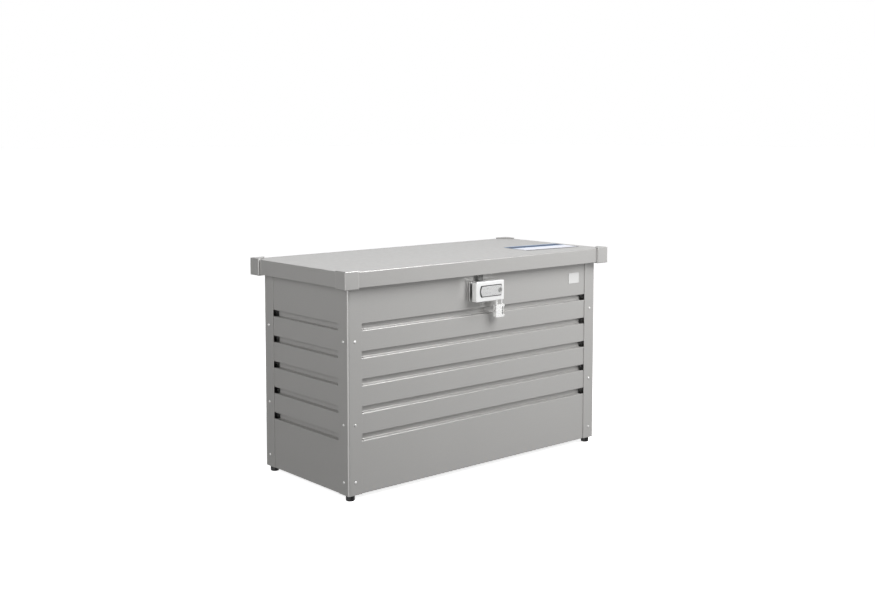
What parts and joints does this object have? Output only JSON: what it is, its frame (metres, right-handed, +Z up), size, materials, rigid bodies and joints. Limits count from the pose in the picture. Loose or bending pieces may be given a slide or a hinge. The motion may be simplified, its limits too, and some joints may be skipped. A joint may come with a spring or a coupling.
{
  "type": "deck storage box",
  "caption": "Metal deck storage box with ribbed walls, corner posts, a gas-sprung lid with corner caps, a turn-handle lock and a padlock.",
  "frame": {"origin": "on the floor under the middle of the whole object, lock included", "axes": "+Z up, +X along the width to the right as seen from the front, -Y out of the front where the lock is"},
  "size_m": [1.01, 0.4682, 0.6178],
  "materials": {
    "paint": "metallic silver-grey powder coat, satin",
    "cap_paint": "metallic silver-grey coat on the lid caps, satin",
    "inner_paint": "grey coat inside the box and on the lid catch, matt",
    "zinc": "zinc-plated steel fittings",
    "black_paint": "gloss black coat of the gas springs",
    "chrome": "polished chrome plate",
    "padlock_chrome": "bright chrome plate of the padlock",
    "brushed": "brushed stainless steel",
    "foot_plastic": "black plastic feet and lock spacer",
    "seal_rubber": "black rubber seal",
    "dial_metal": "satin metal dial rings",
    "blank_plate": "white satin plate without text",
    "label_film": "blue, white and grey film label without text"
  },
  "bodies": {
    "box": {"front_panel": "paint", "rear_panel": "paint", "left_panel": "paint", "right_panel": "paint", "corner_post_front_left": "paint", "corner_post_front_right": "paint", "corner_post_rear_left": "paint", "corner_post_rear_right": "paint", "floor_panel": "inner_paint", "foot_front_left": "foot_plastic", "foot_front_right": "foot_plastic", "foot_rear_left": "foot_plastic", "foot_rear_right": "foot_plastic", "foot_bracket_front_left": "zinc", "foot_bracket_front_right": "zinc", "foot_bracket_rear_left": "zinc", "foot_bracket_rear_right": "zinc", "front_top_rail": "inner_paint", "rear_top_rail": "inner_paint", "left_top_rail": "inner_paint", "right_top_rail": "inner_paint", "hinge_left_body_leaf": "zinc", "hinge_right_body_leaf": "zinc", "hinge_left_pin": "zinc", "hinge_right_pin": "zinc", "gas_spring_left_body_bracket": "zinc", "gas_spring_right_body_bracket": "zinc", "lock_base_plate": "zinc", "lock_neck": "foot_plastic", "lock_housing": "chrome", "lock_seal": "seal_rubber", "name_plate": "blank_plate"},
    "lid": {"lid_shell": "paint", "lid_cap_front_left": "cap_paint", "lid_cap_front_right": "cap_paint", "lid_cap_rear_left": "cap_paint", "lid_cap_rear_right": "cap_paint", "lid_channel_left": "inner_paint", "lid_channel_right": "inner_paint", "lid_catch": "inner_paint", "hinge_left_lid_leaf": "zinc", "hinge_right_lid_leaf": "zinc", "gas_spring_left_lid_bracket": "zinc", "gas_spring_right_lid_bracket": "zinc", "lid_label": "label_film"},
    "spring_left_cylinder": {"gas_spring_left_cylinder": "black_paint"},
    "spring_left_rod": {"gas_spring_left_rod": "chrome"},
    "spring_right_cylinder": {"gas_spring_right_cylinder": "black_paint"},
    "spring_right_rod": {"gas_spring_right_rod": "chrome"},
    "handle": {"lock_handle": "brushed", "lock_cam": "zinc"},
    "key_plug": {"lock_key_plug": "brushed"},
    "shackle": {"padlock_shackle": "chrome"},
    "padlock": {"padlock_body": "padlock_chrome"},
    "dial_1": {"padlock_dial_1": "dial_metal"},
    "dial_2": {"padlock_dial_2": "dial_metal"},
    "dial_3": {"padlock_dial_3": "dial_metal"}
  },
  "joints": [
    {"name": "lid_hinge", "type": "hinge", "parent": "box", "child": "lid", "pos_m": [0, 0.2187, 0.578], "axis": [-1, 0, 0], "range_deg": [0, 80]},
    {"name": "gas_spring_left_tilt", "type": "hinge", "parent": "box", "child": "spring_left_cylinder", "pos_m": [-0.44, 0.0541, 0.38], "axis": [-1, 0, 0], "range_deg": [0, 15]},
    {"name": "gas_spring_left_stroke", "type": "slide", "parent": "spring_left_cylinder", "child": "spring_left_rod", "axis": [0, 0.2409, 0.9706], "range_m": [0, 0.127]},
    {"name": "gas_spring_right_tilt", "type": "hinge", "parent": "box", "child": "spring_right_cylinder", "pos_m": [0.44, 0.0541, 0.38], "axis": [-1, 0, 0], "range_deg": [0, 15]},
    {"name": "gas_spring_right_stroke", "type": "slide", "parent": "spring_right_cylinder", "child": "spring_right_rod", "axis": [0, 0.2409, 0.9706], "range_m": [0, 0.127]},
    {"name": "lock_handle_turn", "type": "hinge", "parent": "box", "child": "handle", "pos_m": [0.003, -0.2309, 0.5253], "axis": [0, -1, 0], "range_deg": [0, 90]},
    {"name": "key_turn", "type": "hinge", "parent": "handle", "child": "key_plug", "pos_m": [0.0345, -0.2309, 0.5253], "axis": [0, -1, 0], "range_deg": [0, 90]},
    {"name": "padlock_swing", "type": "hinge", "parent": "box", "child": "shackle", "pos_m": [0.0439, -0.2206, 0.5065], "axis": [1, 0, 0], "range_deg": [-16, 16]},
    {"name": "padlock_drop", "type": "slide", "parent": "shackle", "child": "padlock", "axis": [0, 0, -1], "range_m": [0, 0.007]},
    {"name": "dial_1_turn", "type": "hinge", "parent": "padlock", "child": "dial_1", "pos_m": [0.0539, -0.2206, 0.4707], "axis": [0, 0, 1], "continuous": true},
    {"name": "dial_2_turn", "type": "hinge", "parent": "padlock", "child": "dial_2", "pos_m": [0.0539, -0.2206, 0.4633], "axis": [0, 0, 1], "continuous": true},
    {"name": "dial_3_turn", "type": "hinge", "parent": "padlock", "child": "dial_3", "pos_m": [0.0539, -0.2206, 0.4559], "axis": [0, 0, 1], "continuous": true}
  ],
  "couplings": [
    {"joint": "gas_spring_left_tilt", "follows": "lid_hinge", "ratio": 0.17982},
    {"joint": "gas_spring_left_stroke", "follows": "lid_hinge", "m_per_rad": 0.089994},
    {"joint": "gas_spring_right_tilt", "follows": "lid_hinge", "ratio": 0.17982},
    {"joint": "gas_spring_right_stroke", "follows": "lid_hinge", "m_per_rad": 0.089994}
  ]
}
